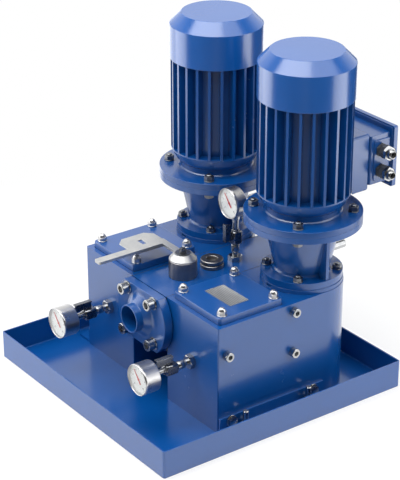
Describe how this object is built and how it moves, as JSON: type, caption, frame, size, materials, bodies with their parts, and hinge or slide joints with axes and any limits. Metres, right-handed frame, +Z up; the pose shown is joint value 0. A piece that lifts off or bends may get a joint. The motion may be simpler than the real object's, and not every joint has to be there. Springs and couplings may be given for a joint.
{
  "type": "screw pump station",
  "caption": "Duplex screw pump unit on a square drip tray: vertical motors on bell lanterns, strainer housings, a flanged valve block with change-over lever, and pressure gauges.",
  "frame": {"origin": "centre of the drip tray's underside", "axes": "+Z up, -Y towards the suction flange and the front gauges, +X towards the right-hand pump"},
  "size_m": [0.606, 0.642, 0.7335],
  "materials": {
    "paint_blue": "semi-gloss deep blue paint",
    "motor_paint": "semi-gloss deep blue paint on cast aluminium",
    "steel_bright": "bright zinc-plated or stainless steel",
    "steel_polished": "polished stainless steel",
    "steel_plain": "machined steel",
    "cast_grey": "machined cast iron",
    "valve_black": "dark phosphated steel",
    "alloy": "plain aluminium",
    "gasket_black": "black sealing sheet",
    "dial_white": "white dial with grey marks",
    "pointer_red": "red enamel",
    "lens_clear": "clear window",
    "gland_grey": "dark grey body with metal cap",
    "plate_grey": "satin grey plate"
  },
  "bodies": {
    "station": {"drip_tray": "paint_blue", "mounting_rails": "paint_blue", "rail_fasteners": "steel_bright", "housing_left": "paint_blue", "housing_right": "paint_blue", "middle_block": "paint_blue", "suction_flange": "paint_blue", "discharge_flange": "paint_blue", "gaskets": "gasket_black", "flange_screws": "steel_bright", "strainer_cover_left": "paint_blue", "strainer_cover_right": "paint_blue", "cap_nuts": "steel_polished", "strainer_baskets": "steel_plain", "pump_inserts": "cast_grey", "bearing_covers": "paint_blue", "lantern_left": "paint_blue", "lantern_right": "paint_blue", "lantern_nuts": "steel_bright", "motor_bolts": "steel_bright", "leak_stubs": "steel_bright", "motor_shield_left": "motor_paint", "motor_shield_right": "motor_paint", "motor_frame_left": "motor_paint", "motor_frame_right": "motor_paint", "fan_cowl_left": "paint_blue", "fan_cowl_right": "paint_blue", "terminal_box_left": "motor_paint", "terminal_box_right": "motor_paint", "terminal_lids": "motor_paint", "cable_glands": "gland_grey", "valve_bonnet": "valve_black", "gauge_cases": "steel_polished", "gauge_dials": "dial_white", "gauge_lenses": "lens_clear", "gauge_fittings": "steel_bright", "side_plugs": "steel_bright", "overflow_plug": "valve_black", "nameplate": "plate_grey"},
    "changeover_valve": {"valve_spindle": "steel_plain", "changeover_lever": "steel_bright", "blocking_plate": "steel_bright"},
    "pump_rotor_left": {"drive_screw_left": "steel_plain", "coupling_left": "alloy", "motor_rotor_left": "steel_plain", "fan_left": "alloy"},
    "idler_left_front": {"idler_screw_left_front": "steel_plain"},
    "idler_left_rear": {"idler_screw_left_rear": "steel_plain"},
    "pump_rotor_right": {"drive_screw_right": "steel_plain", "coupling_right": "alloy", "motor_rotor_right": "steel_plain", "fan_right": "alloy"},
    "idler_right_front": {"idler_screw_right_front": "steel_plain"},
    "idler_right_rear": {"idler_screw_right_rear": "steel_plain"},
    "gauge_valve_left": {"gauge_handle_left": "steel_bright"},
    "gauge_valve_right": {"gauge_handle_right": "steel_bright"},
    "gauge_valve_rear": {"gauge_handle_rear": "steel_bright"},
    "pointer_left": {"gauge_pointer_left": "pointer_red"},
    "pointer_right": {"gauge_pointer_right": "pointer_red"},
    "pointer_rear": {"gauge_pointer_rear": "pointer_red"}
  },
  "joints": [
    {"name": "changeover", "type": "hinge", "parent": "station", "child": "changeover_valve", "pos_m": [0, -0.0385, 0.284], "axis": [0, 0, 1], "range_deg": [0, 180]},
    {"name": "rotor_left", "type": "hinge", "parent": "station", "child": "pump_rotor_left", "pos_m": [-0.148, 0.1565, 0.3], "axis": [0, 0, 1], "continuous": true},
    {"name": "idler_left_front_spin", "type": "hinge", "parent": "station", "child": "idler_left_front", "pos_m": [-0.148, 0.1325, 0.15], "axis": [0, 0, 1], "continuous": true},
    {"name": "idler_left_rear_spin", "type": "hinge", "parent": "station", "child": "idler_left_rear", "pos_m": [-0.148, 0.1805, 0.15], "axis": [0, 0, 1], "continuous": true},
    {"name": "rotor_right", "type": "hinge", "parent": "station", "child": "pump_rotor_right", "pos_m": [0.148, 0.1565, 0.3], "axis": [0, 0, 1], "continuous": true},
    {"name": "idler_right_front_spin", "type": "hinge", "parent": "station", "child": "idler_right_front", "pos_m": [0.148, 0.1325, 0.15], "axis": [0, 0, 1], "continuous": true},
    {"name": "idler_right_rear_spin", "type": "hinge", "parent": "station", "child": "idler_right_rear", "pos_m": [0.148, 0.1805, 0.15], "axis": [0, 0, 1], "continuous": true},
    {"name": "gauge_valve_left", "type": "hinge", "parent": "station", "child": "gauge_valve_left", "pos_m": [-0.148, -0.1805, 0.1315], "axis": [0, 0, 1], "range_deg": [0, 90]},
    {"name": "gauge_valve_right", "type": "hinge", "parent": "station", "child": "gauge_valve_right", "pos_m": [0.148, -0.1805, 0.1315], "axis": [0, 0, 1], "range_deg": [0, 90]},
    {"name": "gauge_valve_rear", "type": "hinge", "parent": "station", "child": "gauge_valve_rear", "pos_m": [0.006, 0.0925, 0.296], "axis": [0, -1, 0], "range_deg": [0, 90]},
    {"name": "pointer_left", "type": "hinge", "parent": "station", "child": "pointer_left", "pos_m": [-0.148, -0.258, 0.1315], "axis": [0, -1, 0], "range_deg": [-180, 90]},
    {"name": "pointer_right", "type": "hinge", "parent": "station", "child": "pointer_right", "pos_m": [0.148, -0.258, 0.1315], "axis": [0, -1, 0], "range_deg": [-180, 90]},
    {"name": "pointer_rear", "type": "hinge", "parent": "station", "child": "pointer_rear", "pos_m": [0.006, 0.071, 0.374], "axis": [0, -1, 0], "range_deg": [-180, 90]}
  ],
  "couplings": [
    {"joint": "idler_left_front_spin", "follows": "rotor_left", "ratio": -1},
    {"joint": "idler_left_rear_spin", "follows": "rotor_left", "ratio": -1},
    {"joint": "idler_right_front_spin", "follows": "rotor_right", "ratio": -1},
    {"joint": "idler_right_rear_spin", "follows": "rotor_right", "ratio": -1}
  ]
}
